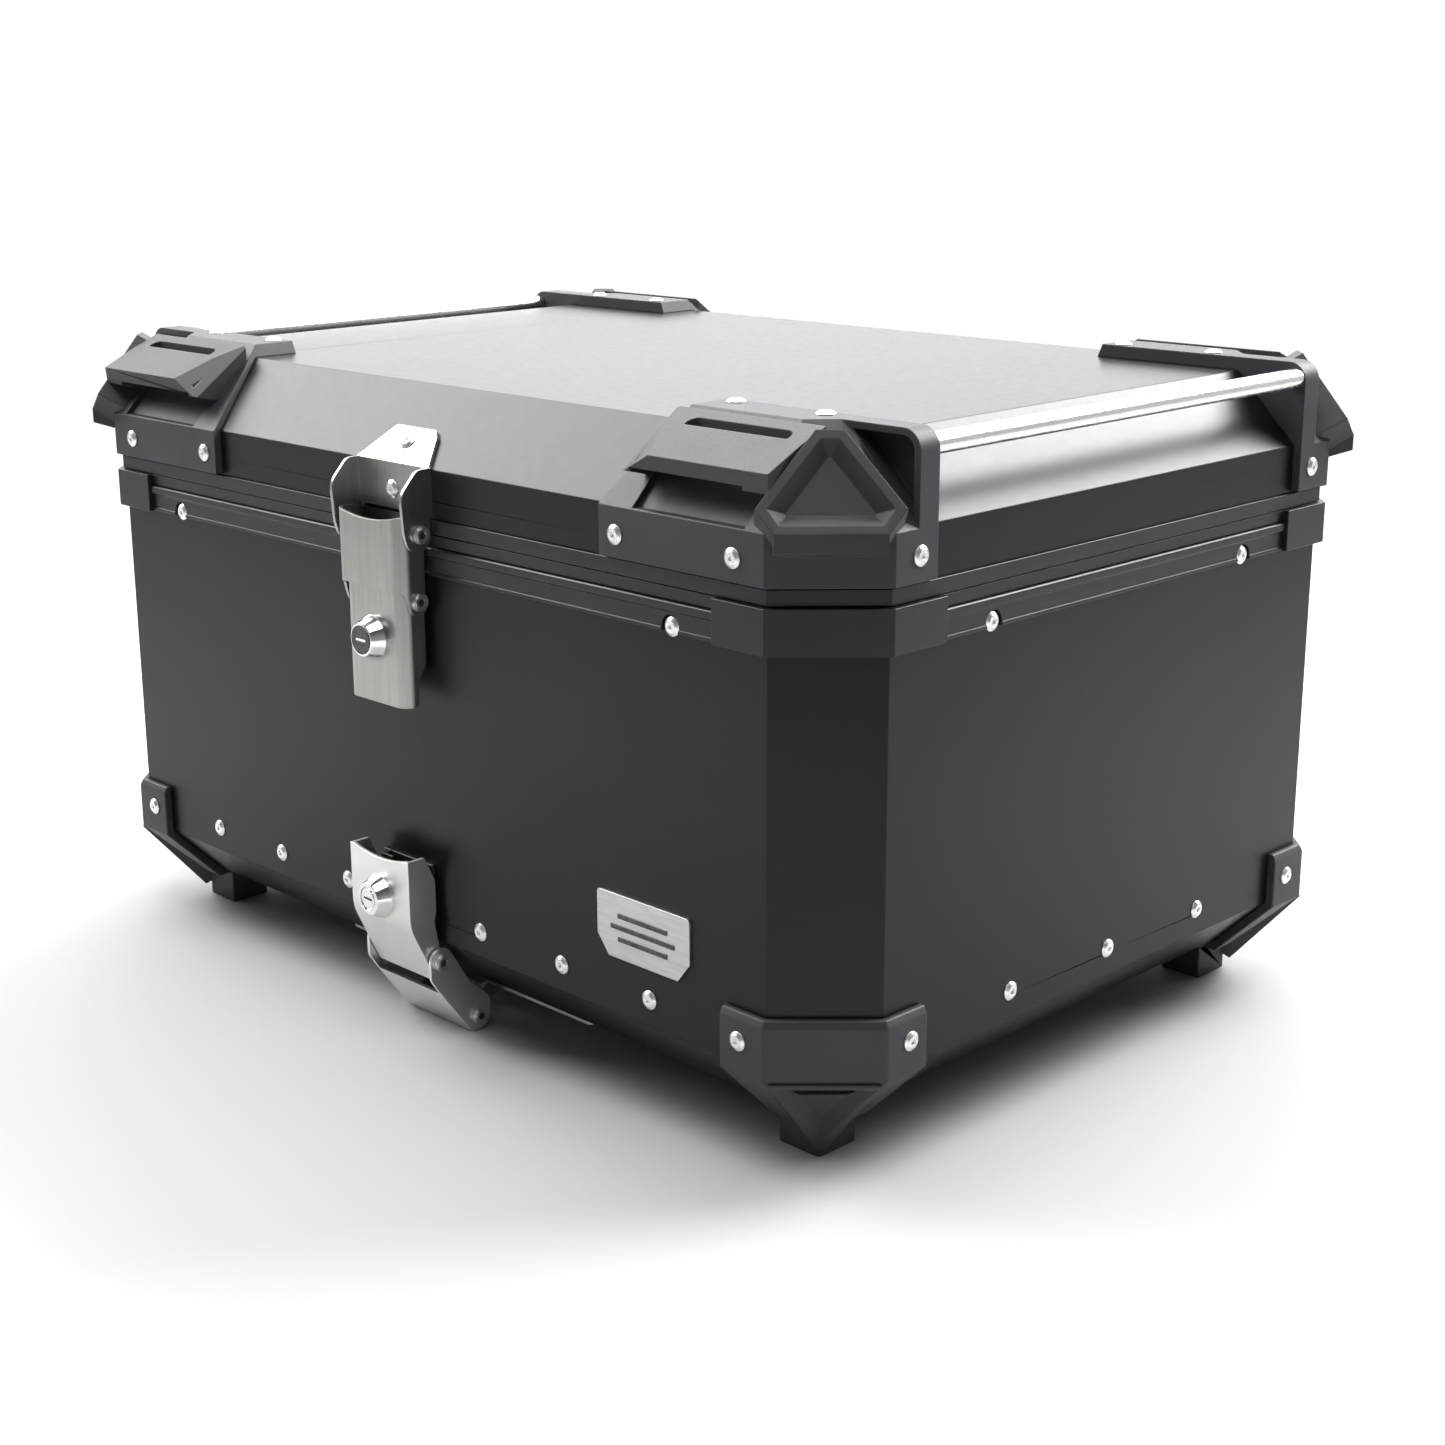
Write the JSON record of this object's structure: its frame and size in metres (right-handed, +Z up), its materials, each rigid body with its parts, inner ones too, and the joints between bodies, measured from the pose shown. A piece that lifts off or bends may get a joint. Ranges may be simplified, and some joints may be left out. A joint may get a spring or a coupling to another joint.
{
  "type": "motorcycle top case",
  "caption": "Hard top case for a motorcycle: bevelled metal box, hinged lid, plastic corner guards with strap loops, side rails, a locking lid latch and a quick-release foot latch.",
  "frame": {"origin": "centre of the rack bolt pattern, on the underside of the mounting plate", "axes": "+X along the long side, -Y towards the latches, +Z up"},
  "size_m": [0.6252, 0.4621, 0.3537],
  "materials": {
    "powder_coat": "satin black powder coat on aluminium sheet",
    "rim_black": "satin black coated aluminium profile",
    "guard_plastic": "moulded grey-black plastic, slightly blue",
    "latch_steel": "brushed stainless sheet",
    "rail_steel": "satin bright tube",
    "lock_chrome": "polished chrome",
    "rivet_aluminium": "bright rivet head",
    "badge_metal": "dark satin plate with plain lines",
    "seal_rubber": "black rubber"
  },
  "bodies": {
    "box": {"floor_pan": "powder_coat", "wall_shell": "powder_coat", "body_rim": "rim_black", "rim_strip_front": "rim_black", "rim_strip_right": "rim_black", "rim_strip_left": "rim_black", "rim_strip_back_right": "rim_black", "rim_strip_back_left": "rim_black", "rim_corner_front_right": "rim_black", "rim_corner_front_left": "rim_black", "rim_corner_back_right": "rim_black", "rim_corner_back_left": "rim_black", "bottom_guard_front_right": "guard_plastic", "bottom_guard_front_left": "guard_plastic", "bottom_guard_back_right": "guard_plastic", "bottom_guard_back_left": "guard_plastic", "floor_plate": "latch_steel", "rear_hook": "latch_steel", "badge_plate": "badge_metal", "hinge_body_leaf": "rim_black", "hinge_pin": "latch_steel", "upper_keeper": "rim_black", "lower_keeper": "rim_black", "lever_bracket": "latch_steel", "lower_lever_pin": "latch_steel", "row_rivets": "rivet_aluminium", "rim_rivets": "rivet_aluminium", "bottom_guard_rivets": "rivet_aluminium", "hinge_body_rivets": "rivet_aluminium"},
    "lid": {"lid_shell": "powder_coat", "lid_rim": "rim_black", "lid_seal": "seal_rubber", "lid_guard_front_right": "guard_plastic", "lid_guard_front_left": "guard_plastic", "lid_guard_back_right": "guard_plastic", "lid_guard_back_left": "guard_plastic", "rail_right": "rail_steel", "rail_left": "rail_steel", "hinge_lid_leaf": "rim_black", "upper_latch_bracket": "latch_steel", "upper_latch_pin": "latch_steel", "lid_guard_rivets": "rivet_aluminium", "lid_guard_top_rivets": "rivet_aluminium", "hinge_lid_rivets": "rivet_aluminium", "bracket_rivets": "rivet_aluminium"},
    "upper_link": {"upper_latch_link": "latch_steel", "upper_link_pin": "latch_steel"},
    "upper_handle": {"upper_handle": "latch_steel", "upper_lock_ring": "lock_chrome"},
    "upper_key": {"upper_lock_plug": "lock_chrome"},
    "lower_lever": {"lower_lever": "latch_steel", "lower_handle_pin": "latch_steel"},
    "lower_handle": {"lower_handle": "latch_steel", "lower_lock_ring": "lock_chrome"},
    "lower_key": {"lower_lock_plug": "lock_chrome"}
  },
  "joints": [
    {"name": "lid_hinge", "type": "hinge", "parent": "box", "child": "lid", "pos_m": [0, 0.217, 0.2553], "axis": [-1, 0, 0], "range_deg": [0, 100]},
    {"name": "upper_link_swing", "type": "hinge", "parent": "lid", "child": "upper_link", "pos_m": [0, -0.2188, 0.2562], "axis": [-1, 0, 0], "range_deg": [0, 13.75]},
    {"name": "upper_handle_swing", "type": "hinge", "parent": "upper_link", "child": "upper_handle", "pos_m": [0, -0.2188, 0.2212], "axis": [-1, 0, 0], "range_deg": [0, 55]},
    {"name": "upper_key_turn", "type": "hinge", "parent": "upper_handle", "child": "upper_key", "pos_m": [0, -0.2277, 0.2], "axis": [0, -1, 0], "range_deg": [0, 90]},
    {"name": "lower_lever_swing", "type": "hinge", "parent": "box", "child": "lower_lever", "pos_m": [0, -0.1895, -0.0125], "axis": [1, 0, 0], "range_deg": [0, 24]},
    {"name": "lower_handle_swing", "type": "hinge", "parent": "lower_lever", "child": "lower_handle", "pos_m": [0, -0.2138, 0.025], "axis": [1, 0, 0], "range_deg": [0, 80]},
    {"name": "lower_key_turn", "type": "hinge", "parent": "lower_handle", "child": "lower_key", "pos_m": [0, -0.231, 0.06], "axis": [0, -1, 0], "range_deg": [0, 90]}
  ],
  "couplings": [
    {"joint": "upper_link_swing", "follows": "upper_handle_swing", "ratio": 0.25},
    {"joint": "lower_lever_swing", "follows": "lower_handle_swing", "ratio": 0.3}
  ]
}
